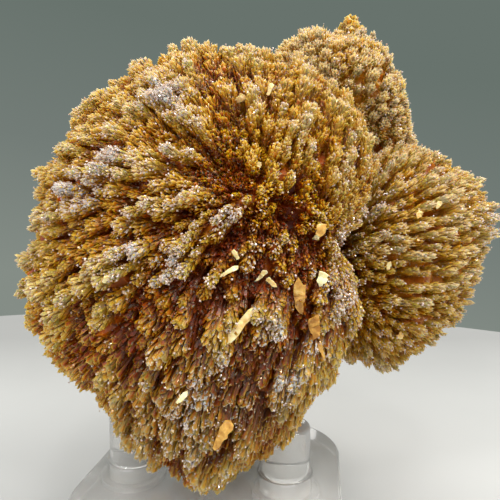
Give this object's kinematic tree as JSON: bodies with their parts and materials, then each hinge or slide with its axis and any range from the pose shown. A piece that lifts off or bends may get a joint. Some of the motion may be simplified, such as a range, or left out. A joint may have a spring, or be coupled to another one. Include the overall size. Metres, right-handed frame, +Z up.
{
  "type": "barite crystal cluster on a peg stand",
  "caption": "Rounded cluster of radiating amber barite crystal sprays, resting on a clear plate with upright pegs, for display.",
  "frame": {"origin": "centre of the stand plate's flat underside", "axes": "+Z up from the surface it stands on, -Y towards the viewer who sees the main dome, +X to the viewer's right"},
  "size_m": [0.0932, 0.0585, 0.1056],
  "materials": {
    "barite": "translucent amber to straw crystals, vitreous, red-brown in the gaps, with whitish sparkling druse",
    "clear_acrylic": "clear polished acrylic"
  },
  "bodies": {
    "root": {"barite_cluster": "barite", "stand_plate": "clear_acrylic", "stand_peg_left": "clear_acrylic", "stand_peg_right": "clear_acrylic", "stand_peg_back": "clear_acrylic"}
  },
  "joints": []
}
